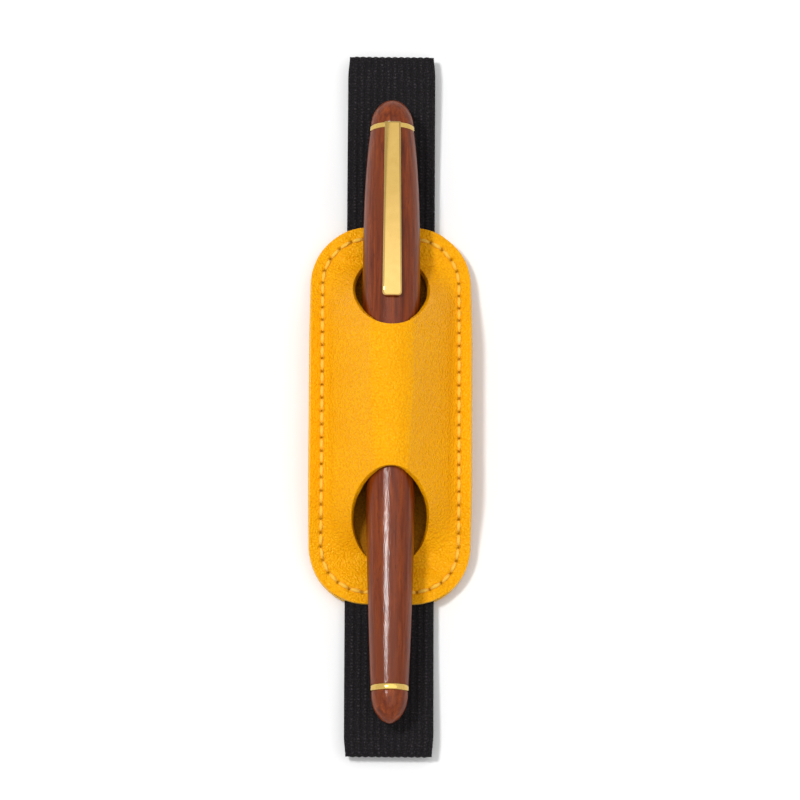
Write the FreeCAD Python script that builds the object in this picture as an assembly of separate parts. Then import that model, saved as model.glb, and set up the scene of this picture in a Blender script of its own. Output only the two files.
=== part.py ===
"""A slip-on sleeve for a fountain pen, with the pen that it carries.

Two leather panels, sewn together round their edge, sit on an elastic loop that slips over the
cover of a notebook. The pen lies over the panels' two ends and passes under the strip of leather
between two holes. +X runs across the sleeve, +Y along the pen towards its cap and +Z up, in
millimetres. The origin is at the middle of the loop, on the surface that it lies on.
"""

import FreeCAD, Part
import math
import os

from FreeCAD import Vector

os.makedirs("parts", exist_ok=True)

# Elastic loop
BAND_WIDTH = 20.0
BAND_LENGTH = 162.6  # from fold to fold, lying flat
BAND_THICK = 0.9
FOLD_GAP = 1.0  # between the two runs inside a fold
FOLD_LIFT = 2.0  # how far the folded ends stand off the surface
FOLD_REACH = 20.0  # length over which the loop lifts towards a fold
FOLD_LEVEL = 6.0  # level length next to a fold
BAND_BEND = 30.0  # radius of the loop's gentle bends

# Leather sleeve
PANEL_THICK = 1.2
SLEEVE_WIDTH = 36.2
SLEEVE_LENGTH = 87.1
SLEEVE_CORNER = 13.0
SLEEVE_OFFSET = -3.2  # the sleeve's middle along Y
STRIP_LENGTH = 32.1  # the strip between the two holes
STRIP_OFFSET = 1.5  # the strip's middle from the sleeve's middle
HOLE_LENGTH = 20.0
HOLE_SIDE_GAP = 2.2  # from the cap's side to the side of a hole
TAB_DEPTH = 5.0  # how far the elastic's ends reach into the seam
TAB_EASE = 4.0  # length over which the front panel steps down beside a tab
TROUGH_FLAT = 4.0  # half the flat floor of the back panel under the strip
TROUGH_SLOPE = 0.36  # how steeply the back panel's sides rise under the strip
END_SLOPE = 0.08  # and at the sleeve's ends
BEND_SOFT = 1.2  # softness of the leather's bends
ARCH_KEEP = 5.0  # length of a hole's sides along which the strip's arch keeps its height
ARCH_LANDING = 1.5  # flat length before the far end of a hole

# Seam
SEAM_INSET = 2.6  # from the sleeve's edge to the stitches
SEAM_FOOT = 1.8  # from the stitches to where the panels part
STITCH_PITCH = 3.05
STITCH_STEPS = 4  # a stitch covers all but one of these shares of the pitch
THREAD_R = 0.3

# Cap
CAP_LIP_Y = 5.0  # where the cap meets the barrel
CAP_LENGTH = 63.4  # from its lip to its tip
CAP_R = 6.55  # at the lip
CAP_NECK_R = 5.0  # under the ring
CAP_FULLNESS = 4.5  # how fast the cap swells below its ring
CAP_RING_WIDTH = 1.2
FINIAL_LENGTH = 6.3
LIP_BAND_WIDTH = 3.0
CAP_BORE_R = 5.45
CAP_BORE_DEPTH = 25.0
NIB_BORE_R = 4.4
NIB_BORE_DEPTH = 48.0
LINER_WALL = 0.4
STUD_R = 1.4
CAP_STUD_LENGTH = 11.0

# Clip
CLIP_LENGTH = 41.2
CLIP_THICK = 0.9
CLIP_ROOT_WIDTH = 3.6
CLIP_TIP_WIDTH = 4.4
CLIP_STAND = 0.8  # height of the clip's root above the ring
CLIP_OPEN = 0.7  # space between cap and clip near the tip
CLIP_FOOT = 3.6  # length of the turned-in foot
CLIP_NOSE_R = 1.0
CLIP_EDGE = 0.4  # bevel along the clip's two sides

# Barrel
BARREL_LENGTH = 71.4
BARREL_R = 5.6  # at its mouth
BARREL_TAPER = 2.4  # how late the barrel narrows
TAIL_R = 4.25
TAIL_RING_WIDTH = 1.35
TAIL_LENGTH = 7.1
BARREL_BORE_R = 3.9
KNOB_SPARE = 3.9  # from the converter's knob to the end of the bore
STUD_COVER = 2.25  # wood between the bore and the tail's screw
BUSH_WALL = 0.75
BUSH_LENGTH = 13.0

# Grip section, nib and feed
SECTION_LENGTH = 21.0
COLLAR_LENGTH = 4.0
COLLAR_WALL = 0.6
GRIP_WAIST_R = 4.0
GRIP_LIP_R = 4.35
TENON_LENGTH = 11.0
SOCKET_DEPTH = 9.0
NIB_R = 3.05
NIB_THICK = 0.35
NIB_REACH = 21.0  # how far the nib stands out of the grip
NIB_SEAT = 9.0  # how much of it is inside
NIB_SHOULDER = 6.5
NIB_TIP_HALF = 0.4
BREATHER_R = 0.7
SLIT_WIDTH = 0.12
FEED_REACH = 15.0
FEED_SEAT = 14.0
FEED_TIP_HEIGHT = 1.0
FIN_COUNT = 7
FIN_PITCH = 1.1
FIN_SLOT = 0.45
FIN_DEPTH = 1.0
INK_HOLE_R = 0.9

# Converter
TUBE_R = 3.15
TUBE_WALL = 0.55
TUBE_LENGTH = 37.0
TUBE_MOUTH = 1.2  # thickness of the tube's front wall
SEAL_LENGTH = 4.0
SEAL_REST = 1.0  # from the tube's front wall to the seal at rest
ROD_R = 1.0
ROD_LENGTH = 28.5
SLEEVE_LAP = 6.0  # how far the metal collar covers the tube
SLEEVE_WALL = 0.4
SLEEVE_END = 2.0
KNOB_R = 3.1
KNOB_LENGTH = 14.0
KNOB_END = 1.2

# Clearances
LAY_GAP = 0.1  # between layers that lie on each other
SEAM_GAP = 0.2  # spare height in the seam
PEN_SEAT_GAP = 0.2  # between the pen and the stitches that it lies on
PEN_SLIDE_GAP = 0.3  # between the pen and the strip over it
FIT_GAP = 0.05  # round pieces that turn, slide or press into each other
END_GAP = 0.1  # end faces of pieces that part
CLIP_GAP = 0.1  # between the clip and the cap or ring
RING_PROUD = 0.12  # how far a ring stands proud of the wood

# Heights of the layers, from the surface up
STITCH_HEIGHT = LAY_GAP + THREAD_R
BACK_TOP = BAND_THICK + LAY_GAP + STITCH_HEIGHT + PANEL_THICK
TAB_Z = BACK_TOP + SEAM_GAP / 2 + BAND_THICK / 2
TONGUE_TOP = BACK_TOP + SEAM_GAP + BAND_THICK + PANEL_THICK
PEN_Z = TONGUE_TOP + STITCH_HEIGHT + PEN_SEAT_GAP + CAP_R

# Places along the sleeve and across it
STRIP_Y = SLEEVE_OFFSET + STRIP_OFFSET
HOLE_OFFSET = (STRIP_LENGTH + HOLE_LENGTH) / 2
HOLE_HALF = CAP_R + HOLE_SIDE_GAP
END_FLAT = BAND_WIDTH / 2 + BEND_SOFT
FOOT_X = SLEEVE_WIDTH / 2 - SEAM_INSET - SEAM_FOOT
DEEP = PEN_Z + CAP_R + 10.0  # taller than the whole sleeve

# Places along the pen
CAP_TIP_Y = CAP_LIP_Y + CAP_LENGTH
RING_TOP_Y = CAP_TIP_Y - FINIAL_LENGTH
RING_LOW_Y = RING_TOP_Y - CAP_RING_WIDTH
MOUTH_Y = CAP_LIP_Y - END_GAP
TAIL_RING_Y = MOUTH_Y - BARREL_LENGTH
TAIL_Y = TAIL_RING_Y - TAIL_RING_WIDTH
GRIP_END_Y = CAP_LIP_Y + SECTION_LENGTH
NIB_TIP_Y = GRIP_END_Y + NIB_REACH
TENON_Y = CAP_LIP_Y - TENON_LENGTH
SOCKET_Y = TENON_Y + SOCKET_DEPTH
FEED_Y = GRIP_END_Y - FEED_SEAT
TUBE_Y = SOCKET_Y - END_GAP
TUBE_END_Y = TUBE_Y - TUBE_LENGTH
SEAL_Y = TUBE_Y - TUBE_MOUTH - SEAL_REST
COLLAR_END_Y = TUBE_END_Y - SLEEVE_END
KNOB_Y = COLLAR_END_Y - END_GAP
BORE_END_Y = KNOB_Y - KNOB_LENGTH - KNOB_SPARE

# Radii that follow from the fits
RING_R = CAP_NECK_R + RING_PROUD
COLLAR_R = CAP_BORE_R - FIT_GAP - LINER_WALL - FIT_GAP
CORE_R = COLLAR_R - COLLAR_WALL
BUSH_BORE_R = BARREL_BORE_R
BUSH_R = BUSH_BORE_R + BUSH_WALL
TENON_R = BUSH_BORE_R - FIT_GAP


def smooth(share):
    """Eases from 0 to 1 as the share does."""
    share = min(1.0, max(0.0, share))
    return share * share * (3.0 - 2.0 * share)


def blend(low, high, share):
    return low + (high - low) * share


def ramp(value, softness):
    """Zero below zero and the value itself above it, with a rounded knee."""
    return (value + math.hypot(value, softness)) / 2


# Shape of the leather

def end_share(y):
    """0 along the strip and 1 where the elastic's ends are sewn in."""
    free = SLEEVE_LENGTH / 2 - TAB_DEPTH - STRIP_LENGTH / 2
    return smooth((abs(y - SLEEVE_OFFSET) - STRIP_LENGTH / 2) / free)


def arch_share(y):
    """1 along the strip, falling to 0 beside each hole."""
    beyond = abs(y - STRIP_Y) - STRIP_LENGTH / 2 - ARCH_KEEP
    return 1.0 - smooth(beyond / (HOLE_LENGTH - ARCH_KEEP - ARCH_LANDING))


def tab_share(x, y):
    """1 over the elastic's ends and 0 away from them."""
    across = 1.0 - smooth((abs(x) - BAND_WIDTH / 2) / TAB_EASE)
    inner = SLEEVE_LENGTH / 2 - TAB_DEPTH - TAB_EASE
    return across * smooth((abs(y - SLEEVE_OFFSET) - inner) / TAB_EASE)


def back_inner(x, y):
    """Inner face of the back panel: a flat floor with sides that rise to the seam."""
    share = end_share(y)
    flat = blend(TROUGH_FLAT, END_FLAT, share)
    slope = blend(TROUGH_SLOPE, END_SLOPE, share)
    return BACK_TOP + slope * (ramp(abs(x) - flat, BEND_SOFT) - ramp(-flat, BEND_SOFT))


def strip_radius(y):
    """The strip's inner radius: it hugs the barrel, and widens before the cap's lip."""
    share = smooth((y - STRIP_Y + STRIP_LENGTH / 2) / (CAP_LIP_Y - STRIP_Y + STRIP_LENGTH / 2 - END_GAP))
    return PEN_SLIDE_GAP + blend(BARREL_R, CAP_R, share)


def tent(x, y):
    """Inner face of the strip: an arc over the pen, then straight down to the seam."""
    radius = strip_radius(y)
    foot = back_inner(FOOT_X, y)
    rise = PEN_Z - foot
    slope = math.atan2(rise, FOOT_X) + math.asin(radius / math.hypot(rise, FOOT_X))
    if abs(x) < radius * math.sin(slope):
        return PEN_Z + math.sqrt(radius**2 - x**2)
    return foot + (FOOT_X - abs(x)) * math.tan(slope)


def front_inner(x, y):
    """Inner face of the front panel: on the back panel at the seam, and over pen and tabs."""
    base = back_inner(x, y) + SEAM_GAP
    share = arch_share(y)
    arch = ramp(share * (tent(x, y) - base), share * BEND_SOFT)
    return base + arch + BAND_THICK * tab_share(x, y)


def upright(height, x, y):
    """The direction that points out of a face, scaled to rise by 1."""
    step = 0.01
    across = (height(x + step, y) - height(x - step, y)) / (2 * step)
    along = (height(x, y + step) - height(x, y - step)) / (2 * step)
    return Vector(-across, -along, 1)


def offset(height, thickness):
    """The height of a face that lies a sheet's thickness over a given one, or under it."""
    return lambda x, y: height(x, y) + thickness * upright(height, x, y).Length


back_outer = offset(back_inner, -PANEL_THICK)
front_outer = offset(front_inner, PANEL_THICK)


def sleeve_outline(inset):
    """The sleeve's rounded rectangle, drawn in from its edge, as a closed wire."""
    half_x = SLEEVE_WIDTH / 2 - inset
    half_y = SLEEVE_LENGTH / 2 - inset
    corner = SLEEVE_CORNER - inset
    edges = []
    for sx, sy in ((1, 1), (-1, 1), (-1, -1), (1, -1)):
        centre = Vector(sx * (half_x - corner), SLEEVE_OFFSET + sy * (half_y - corner), 0)
        start = math.degrees(math.atan2(sy, sx)) - 45
        edges.append(Part.makeCircle(corner, centre, Vector(0, 0, 1), start, start + 90))
    arcs = list(edges)
    for arc, following in zip(arcs, arcs[1:] + arcs[:1]):
        edges.append(Part.makeLine(arc.lastVertex().Point, following.firstVertex().Point))
    return Part.Wire(Part.sortEdges(edges)[0])


def below(height):
    """The space under a face given by its heights, over a little more than the sleeve's plan."""
    margin = 4.0
    spacing = 1.6
    half_x = SLEEVE_WIDTH / 2 + margin
    half_y = SLEEVE_LENGTH / 2 + margin
    across = round(half_x / spacing)
    along = round(half_y / spacing)
    rows = []
    for i in range(-across, across + 1):
        x = half_x * i / across
        places = [SLEEVE_OFFSET + half_y * j / along for j in range(-along, along + 1)]
        rows.append([Vector(x, y, height(x, y)) for y in places])
    surface = Part.BSplineSurface()
    surface.interpolate(rows)
    return surface.toShape().extrude(Vector(0, 0, -DEEP))


def leather(lower, upper):
    """A sheet of leather between two faces, cut to the sleeve's outline."""
    plan = Part.Face(sleeve_outline(0)).extrude(Vector(0, 0, DEEP))
    return plan.common(below(upper)).cut(below(lower))


def front_panel():
    panel = leather(front_inner, front_outer)
    for side in (-1, 1):
        centre = Vector(0, STRIP_Y + side * HOLE_OFFSET, 0)
        tip = centre + Vector(0, HOLE_LENGTH / 2, 0)
        flank = centre + Vector(HOLE_HALF, 0, 0)
        rim = Part.Ellipse(tip, flank, centre).toShape()
        panel = panel.cut(Part.Face(Part.Wire(rim)).extrude(Vector(0, 0, DEEP)))
    return panel


def back_panel():
    return leather(back_outer, back_inner)


def stitches(face, side):
    """Half-round stitches pulled down on one face of the sleeve; side is 1 above and -1 below."""
    seam = sleeve_outline(SEAM_INSET)
    count = round(seam.Length / STITCH_PITCH)
    marks = seam.discretize(Number=count * STITCH_STEPS + 1)
    surface = offset(face, side * LAY_GAP)
    laid = [Vector(p.x, p.y, surface(p.x, p.y)) for p in marks]
    threads = []
    for start, stop in zip(laid[::STITCH_STEPS], laid[STITCH_STEPS - 1::STITCH_STEPS]):
        along = stop - start
        out = upright(face, *((start + stop) / 2)[:2]) * side
        thread = Part.makeCylinder(THREAD_R, along.Length, Vector(), Vector(0, 0, 1), 180)
        turn = FreeCAD.Rotation(Vector(), out, along, "ZYX")
        thread.Placement = FreeCAD.Placement(start, turn)
        threads.append(thread)
    return Part.Compound(threads)


# Bent strips

def rounded_line(points, radii):
    """Edges of a bent line in the YZ plane whose corners are rounded."""
    edges = []
    last = points[0]
    for before, corner, after, radius in zip(points, points[1:], points[2:], radii):
        inward = (before - corner).normalize()
        outward = (after - corner).normalize()
        half = inward.getAngle(outward) / 2
        start = corner + inward * (radius / math.tan(half))
        stop = corner + outward * (radius / math.tan(half))
        middle = corner + (inward + outward).normalize() * (radius / math.sin(half) - radius)
        if last.distanceToPoint(start) > LAY_GAP / 100:
            edges.append(Part.makeLine(last, start))
        edges.append(Part.Arc(start, middle, stop).toShape())
        last = stop
    edges.append(Part.makeLine(last, points[-1]))
    return edges


def shifted(points, radii, distance):
    """A bent line moved to its left, with radii that keep its rounded corners concentric."""
    ways = [(stop - start).normalize() for start, stop in zip(points, points[1:])]
    lefts = [Vector(0, -way.z, way.y) for way in ways]
    moved = [points[0] + lefts[0] * distance]
    new_radii = []
    for corner, radius, before, after in zip(points[1:], radii, lefts, lefts[1:]):
        both = before + after
        moved.append(corner + both * (2 * distance / both.dot(both)))
        new_radii.append(radius - math.copysign(distance, distance * before.cross(after).x))
    moved.append(points[-1] + lefts[-1] * distance)
    return moved, new_radii


def strip(points, radii, thickness):
    """The side face of a strip that follows a bent line."""
    near = rounded_line(*shifted(points, radii, thickness / 2))
    far = rounded_line(*shifted(points, radii, -thickness / 2))
    ends = [
        Part.makeLine(near[0].firstVertex().Point, far[0].firstVertex().Point),
        Part.makeLine(near[-1].lastVertex().Point, far[-1].lastVertex().Point),
    ]
    return Part.Face(Part.Wire(Part.sortEdges(near + far + ends)[0]))


def loop_end(side):
    """Half of the loop's middle line, from its sewn-in end round the fold to the rest run."""
    fold = BAND_LENGTH / 2 - BAND_THICK / 2
    low = FOLD_LIFT + BAND_THICK / 2
    high = low + FOLD_GAP + BAND_THICK
    edge = SLEEVE_LENGTH / 2 + side * SLEEVE_OFFSET
    corners = [
        (edge - TAB_DEPTH, TAB_Z),
        (edge + FOLD_LEVEL, TAB_Z),
        (fold - FOLD_LEVEL, high),
        (fold, high),
        (fold, low),
        (fold - FOLD_LEVEL, low),
        (fold - FOLD_REACH, BAND_THICK / 2),
    ]
    return [Vector(0, side * y, z) for y, z in corners]


def elastic_band():
    fold_r = (FOLD_GAP + BAND_THICK) / 2
    bends = [BAND_BEND, BAND_BEND, fold_r, fold_r, BAND_BEND, BAND_BEND]
    path = loop_end(1) + loop_end(-1)[::-1]
    side = strip(path, bends + bends[::-1], BAND_THICK)
    side.translate(Vector(-BAND_WIDTH / 2, 0, 0))
    return side.extrude(Vector(BAND_WIDTH, 0, 0))


# Turned pieces of the pen

def on_pen(y, radius):
    return Vector(0, y, PEN_Z + radius)


def turned(*outline):
    """A piece turned about the pen's axis.

    Each item is a point (place along the pen, radius) or a list of points on a smooth curve.
    """
    edges = []
    last = None
    for item in outline:
        points = [on_pen(*point) for point in (item if isinstance(item, list) else [item])]
        if last is None:
            first = points[0]
        else:
            edges.append(Part.makeLine(last, points[0]))
        if len(points) > 1:
            curve = Part.BSplineCurve()
            curve.interpolate(points)
            edges.append(curve.toShape())
        last = points[-1]
    edges.append(Part.makeLine(last, first))
    return Part.Face(Part.Wire(edges)).revolve(Vector(0, 0, PEN_Z), Vector(0, 1, 0), 360)


def tube(start, stop, outer, inner):
    return turned((start, inner), (start, outer), (stop, outer), (stop, inner))


def rod(start, stop, radius):
    return tube(start, stop, radius, 0)


def curve(radius, start, stop, count=8):
    """Points on a turned curve whose radius is a function of the place along the pen."""
    places = [blend(start, stop, i / count) for i in range(count + 1)]
    return [(y, radius(y)) for y in places]


def cap_radius(y):
    """The cap swells quickly below its ring, then runs almost straight to its lip."""
    share = (RING_LOW_Y - y) / (RING_LOW_Y - CAP_LIP_Y)
    return CAP_R - (CAP_R - CAP_NECK_R) * (1 - min(1, share)) ** CAP_FULLNESS


def barrel_radius(y):
    share = (MOUTH_Y - y) / BARREL_LENGTH
    return BARREL_R - (BARREL_R - TAIL_R) * max(0, share) ** BARREL_TAPER


def cap_shell():
    band = CAP_LIP_Y + LIP_BAND_WIDTH
    step = CAP_LIP_Y + CAP_BORE_DEPTH
    end = CAP_LIP_Y + NIB_BORE_DEPTH
    stud = STUD_R + FIT_GAP
    return turned(
        (band, CAP_BORE_R),
        curve(cap_radius, band, RING_LOW_Y),
        (RING_LOW_Y, stud),
        (end, stud),
        (end, NIB_BORE_R),
        (step, NIB_BORE_R),
        (step, CAP_BORE_R),
    )


def cap_lip_band():
    return tube(CAP_LIP_Y, CAP_LIP_Y + LIP_BAND_WIDTH, CAP_R, CAP_BORE_R)


def cap_liner():
    """The plastic inner cap, closed above the nib."""
    step = CAP_LIP_Y + CAP_BORE_DEPTH - FIT_GAP
    end = CAP_LIP_Y + NIB_BORE_DEPTH - FIT_GAP
    wide = CAP_BORE_R - FIT_GAP
    narrow = NIB_BORE_R - FIT_GAP
    return turned(
        (CAP_LIP_Y, wide - LINER_WALL),
        (CAP_LIP_Y, wide),
        (step, wide),
        (step, narrow),
        (end, narrow),
        (end, 0),
        (end - LINER_WALL, 0),
        (end - LINER_WALL, narrow - LINER_WALL),
        (step - LINER_WALL, narrow - LINER_WALL),
        (step - LINER_WALL, wide - LINER_WALL),
    )


def cap_ring():
    return tube(RING_LOW_Y, RING_TOP_Y, RING_R, STUD_R + FIT_GAP)


def cap_finial():
    """The rounded end of the cap, half an ellipse in outline."""
    base_r = CAP_NECK_R - RING_PROUD
    quarter = [math.pi / 2 * i / 6 for i in range(7)]
    dome = [(RING_TOP_Y + FINIAL_LENGTH * math.sin(a), base_r * math.cos(a)) for a in quarter]
    dome[-1] = (CAP_TIP_Y, 0)
    hole_end = CAP_TIP_Y - FINIAL_LENGTH / 3
    stud = STUD_R + FIT_GAP
    return turned((RING_TOP_Y, stud), dome, (hole_end, 0), (hole_end, stud))


def cap_stud():
    end = CAP_TIP_Y - FINIAL_LENGTH / 3 - FIT_GAP
    return rod(end - CAP_STUD_LENGTH, end, STUD_R)


def barrel_shell():
    bush_end = MOUTH_Y - BUSH_LENGTH - FIT_GAP
    bush = BUSH_R + FIT_GAP
    stud = STUD_R + FIT_GAP
    return turned(
        (MOUTH_Y, bush),
        curve(barrel_radius, MOUTH_Y, TAIL_RING_Y),
        (TAIL_RING_Y, stud),
        (BORE_END_Y, stud),
        (BORE_END_Y, BARREL_BORE_R),
        (bush_end, BARREL_BORE_R),
        (bush_end, bush),
    )


def barrel_bush():
    return tube(MOUTH_Y - BUSH_LENGTH, MOUTH_Y, BUSH_R, BUSH_BORE_R)


def tail_ring():
    return tube(TAIL_Y, TAIL_RING_Y, TAIL_R + RING_PROUD, STUD_R + FIT_GAP)


def tail_finial():
    """The bluntly pointed end of the barrel."""
    base_r = TAIL_R - RING_PROUD

    def taper(y):
        return base_r * (1 - ((TAIL_Y - y) / TAIL_LENGTH) ** 3)

    hole_end = TAIL_Y - TAIL_LENGTH / 2
    stud = STUD_R + FIT_GAP
    return turned((TAIL_Y, stud), curve(taper, TAIL_Y, TAIL_Y - TAIL_LENGTH), (hole_end, 0), (hole_end, stud))


def tail_stud():
    end = TAIL_Y - TAIL_LENGTH / 2 + FIT_GAP
    return rod(end, BORE_END_Y - STUD_COVER, STUD_R)


# Clip

def clip():
    """A bevelled bar that rises from the ring, follows the cap's swell and turns in at its foot."""
    tip_y = RING_TOP_Y - CLIP_LENGTH
    root_r = RING_R + CLIP_GAP
    arm_r = root_r + CLIP_STAND
    foot_r = cap_radius(tip_y) + CLIP_GAP
    low_r = foot_r + CLIP_OPEN
    heel = RING_LOW_Y - CLIP_THICK / 2
    middle = (heel + RING_TOP_Y) / 2
    side = [
        (middle, root_r),
        (RING_TOP_Y, root_r),
        (RING_TOP_Y, arm_r + CLIP_THICK),
        (tip_y, low_r + CLIP_THICK),
        (tip_y, foot_r),
        (tip_y + CLIP_FOOT / 2, foot_r),
        (tip_y + CLIP_FOOT, low_r),
        (heel, arm_r),
        (heel, root_r),
        (middle, root_r),
    ]
    bends = [CLIP_GAP, CLIP_THICK, CLIP_NOSE_R, CLIP_GAP, CLIP_NOSE_R, CLIP_NOSE_R, CLIP_GAP, CLIP_GAP]
    outline = Part.Wire(rounded_line([on_pen(y, r) for y, r in side], bends))
    bar = Part.Face(outline).extrude(Vector(2 * CLIP_TIP_WIDTH, 0, 0))
    bar.translate(Vector(-CLIP_TIP_WIDTH, 0, 0))

    def section(y):
        """The cross-section that the bar is cut to, drawn beyond the bar above and below."""
        share = (RING_TOP_Y - y) / CLIP_LENGTH
        half = blend(CLIP_ROOT_WIDTH, CLIP_TIP_WIDTH, share) / 2
        bevel = blend(arm_r, low_r, share) + CLIP_THICK - CLIP_EDGE
        right = [(half, 0), (half, bevel), (0, bevel + half)]
        left = [(-half, bevel), (-half, 0), (half, 0)]
        return Part.makePolygon([Vector(x, y, PEN_Z + r) for x, r in right + left])

    ends = [section(RING_TOP_Y + CLIP_THICK), section(tip_y - CLIP_THICK)]
    return bar.common(Part.makeLoft(ends, True, True)).Solids[0]


# Writing end of the pen

def grip_section():
    """The grip, with the tenon that screws into the barrel and the socket for the converter."""
    grip = [
        (CAP_LIP_Y + COLLAR_LENGTH, CORE_R + COLLAR_WALL / 2),
        (CAP_LIP_Y + SECTION_LENGTH / 2, blend(GRIP_WAIST_R, CORE_R, 0.3)),
        (GRIP_END_Y - COLLAR_LENGTH, GRIP_WAIST_R),
        (GRIP_END_Y - COLLAR_LENGTH / 4, GRIP_LIP_R),
    ]
    bore_r = NIB_R + FIT_GAP
    socket_r = TUBE_R + FIT_GAP
    return turned(
        (GRIP_END_Y, bore_r),
        (GRIP_END_Y, GRIP_WAIST_R),
        grip[::-1],
        (CAP_LIP_Y + COLLAR_LENGTH, CORE_R),
        (CAP_LIP_Y, CORE_R),
        (CAP_LIP_Y, TENON_R),
        (TENON_Y, TENON_R),
        (TENON_Y, socket_r),
        (SOCKET_Y, socket_r),
        (SOCKET_Y, INK_HOLE_R),
        (FEED_Y - FIT_GAP, INK_HOLE_R),
        (FEED_Y - FIT_GAP, bore_r),
    )


def section_collar():
    return tube(CAP_LIP_Y, CAP_LIP_Y + COLLAR_LENGTH, COLLAR_R, CORE_R)


def nib():
    """A curved sheet cut to the nib's outline, with its slit and breather hole."""
    back = GRIP_END_Y - NIB_SEAT
    shoulder = GRIP_END_Y + NIB_SHOULDER
    wide = NIB_R + NIB_THICK
    flank = [(wide, shoulder), (NIB_R * 0.6, blend(shoulder, NIB_TIP_Y, 0.45)), (NIB_TIP_HALF, NIB_TIP_Y)]
    edges = [Part.makeLine(Vector(-wide, back, PEN_Z), Vector(wide, back, PEN_Z))]
    for side in (-1, 1):
        points = [Vector(side * x, y, PEN_Z) for x, y in flank]
        outline = Part.BSplineCurve()
        outline.interpolate(points)
        edges.append(Part.makeLine(Vector(side * wide, back, PEN_Z), points[0]))
        edges.append(outline.toShape())
    edges.append(Part.makeLine(Vector(-NIB_TIP_HALF, NIB_TIP_Y, PEN_Z), Vector(NIB_TIP_HALF, NIB_TIP_Y, PEN_Z)))
    plan = Part.Face(Part.Wire(Part.sortEdges(edges)[0])).extrude(Vector(0, 0, 2 * NIB_R))
    sheet = tube(back, NIB_TIP_Y, NIB_R, NIB_R - NIB_THICK).common(plan)
    hole_y = blend(GRIP_END_Y, NIB_TIP_Y, 0.4)
    hole = Part.makeCylinder(BREATHER_R, 2 * NIB_R, Vector(0, hole_y, PEN_Z))
    slit = Part.makeBox(SLIT_WIDTH, NIB_REACH, 2 * NIB_R, Vector(-SLIT_WIDTH / 2, hole_y, PEN_Z))
    return sheet.cut(hole).cut(slit)


def feed():
    """The finned feed that lies under the nib."""
    inner_r = NIB_R - NIB_THICK - FIT_GAP
    end = GRIP_END_Y + FEED_REACH
    half = Part.makeBox(2 * CAP_R, CAP_LENGTH, CAP_R, Vector(-CAP_R, FEED_Y, PEN_Z - CAP_R))
    body = rod(FEED_Y, end, NIB_R).common(half).fuse(rod(FEED_Y, end, inner_r)).removeSplitter()
    beak = Part.makePolygon([
        on_pen(GRIP_END_Y + NIB_SHOULDER, -NIB_R),
        on_pen(end, inner_r - FEED_TIP_HEIGHT),
        on_pen(end, -2 * NIB_R),
        on_pen(GRIP_END_Y + NIB_SHOULDER, -2 * NIB_R),
        on_pen(GRIP_END_Y + NIB_SHOULDER, -NIB_R),
    ])
    cut_away = Part.Face(beak).extrude(Vector(2 * CAP_R, 0, 0))
    cut_away.translate(Vector(-CAP_R, 0, 0))
    body = body.cut(cut_away)
    for i in range(FIN_COUNT):
        start = GRIP_END_Y + FIN_PITCH * (i + 0.5)
        groove = tube(start, start + FIN_SLOT, 2 * NIB_R, NIB_R - FIN_DEPTH).common(half)
        body = body.cut(groove)
    return body


# Converter

def converter_tube():
    inner = TUBE_R - TUBE_WALL
    wall = TUBE_Y - TUBE_MOUTH
    return turned(
        (TUBE_Y, INK_HOLE_R),
        (TUBE_Y, TUBE_R),
        (TUBE_END_Y, TUBE_R),
        (TUBE_END_Y, inner),
        (wall, inner),
        (wall, INK_HOLE_R),
    )


def converter_collar():
    """The metal sleeve that closes the tube and guides the rod."""
    inner = TUBE_R + FIT_GAP
    return turned(
        (TUBE_END_Y + SLEEVE_LAP, inner),
        (TUBE_END_Y + SLEEVE_LAP, inner + SLEEVE_WALL),
        (COLLAR_END_Y, inner + SLEEVE_WALL),
        (COLLAR_END_Y, ROD_R + FIT_GAP),
        (TUBE_END_Y, ROD_R + FIT_GAP),
        (TUBE_END_Y, inner),
    )


def piston_seal():
    return rod(SEAL_Y - SEAL_LENGTH, SEAL_Y, TUBE_R - TUBE_WALL - FIT_GAP)


def piston_rod():
    start = SEAL_Y - SEAL_LENGTH
    return rod(start - ROD_LENGTH, start, ROD_R)


def converter_knob():
    end = KNOB_Y - KNOB_LENGTH
    bore_r = ROD_R + 2 * FIT_GAP
    return turned(
        (KNOB_Y, bore_r),
        (KNOB_Y, KNOB_R),
        (end, KNOB_R),
        (end, 0),
        (end + KNOB_END, 0),
        (end + KNOB_END, bore_r),
    )


PIECES = {
    "front_panel": front_panel(),
    "back_panel": back_panel(),
    "front_stitches": stitches(front_outer, 1),
    "back_stitches": stitches(back_outer, -1),
    "elastic_band": elastic_band(),
    "cap_shell": cap_shell(),
    "cap_lip_band": cap_lip_band(),
    "cap_liner": cap_liner(),
    "cap_ring": cap_ring(),
    "cap_finial": cap_finial(),
    "cap_stud": cap_stud(),
    "clip": clip(),
    "barrel_shell": barrel_shell(),
    "barrel_bush": barrel_bush(),
    "tail_ring": tail_ring(),
    "tail_finial": tail_finial(),
    "tail_stud": tail_stud(),
    "grip_section": grip_section(),
    "section_collar": section_collar(),
    "nib": nib(),
    "feed": feed(),
    "converter_tube": converter_tube(),
    "converter_collar": converter_collar(),
    "piston_seal": piston_seal(),
    "piston_rod": piston_rod(),
    "converter_knob": converter_knob(),
}

for name, shape in PIECES.items():
    shape.exportStep(f"parts/{name}.step")
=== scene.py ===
import math

import bmesh
import bpy
from mathutils import Matrix, Vector, noise
from mathutils.kdtree import KDTree


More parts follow.
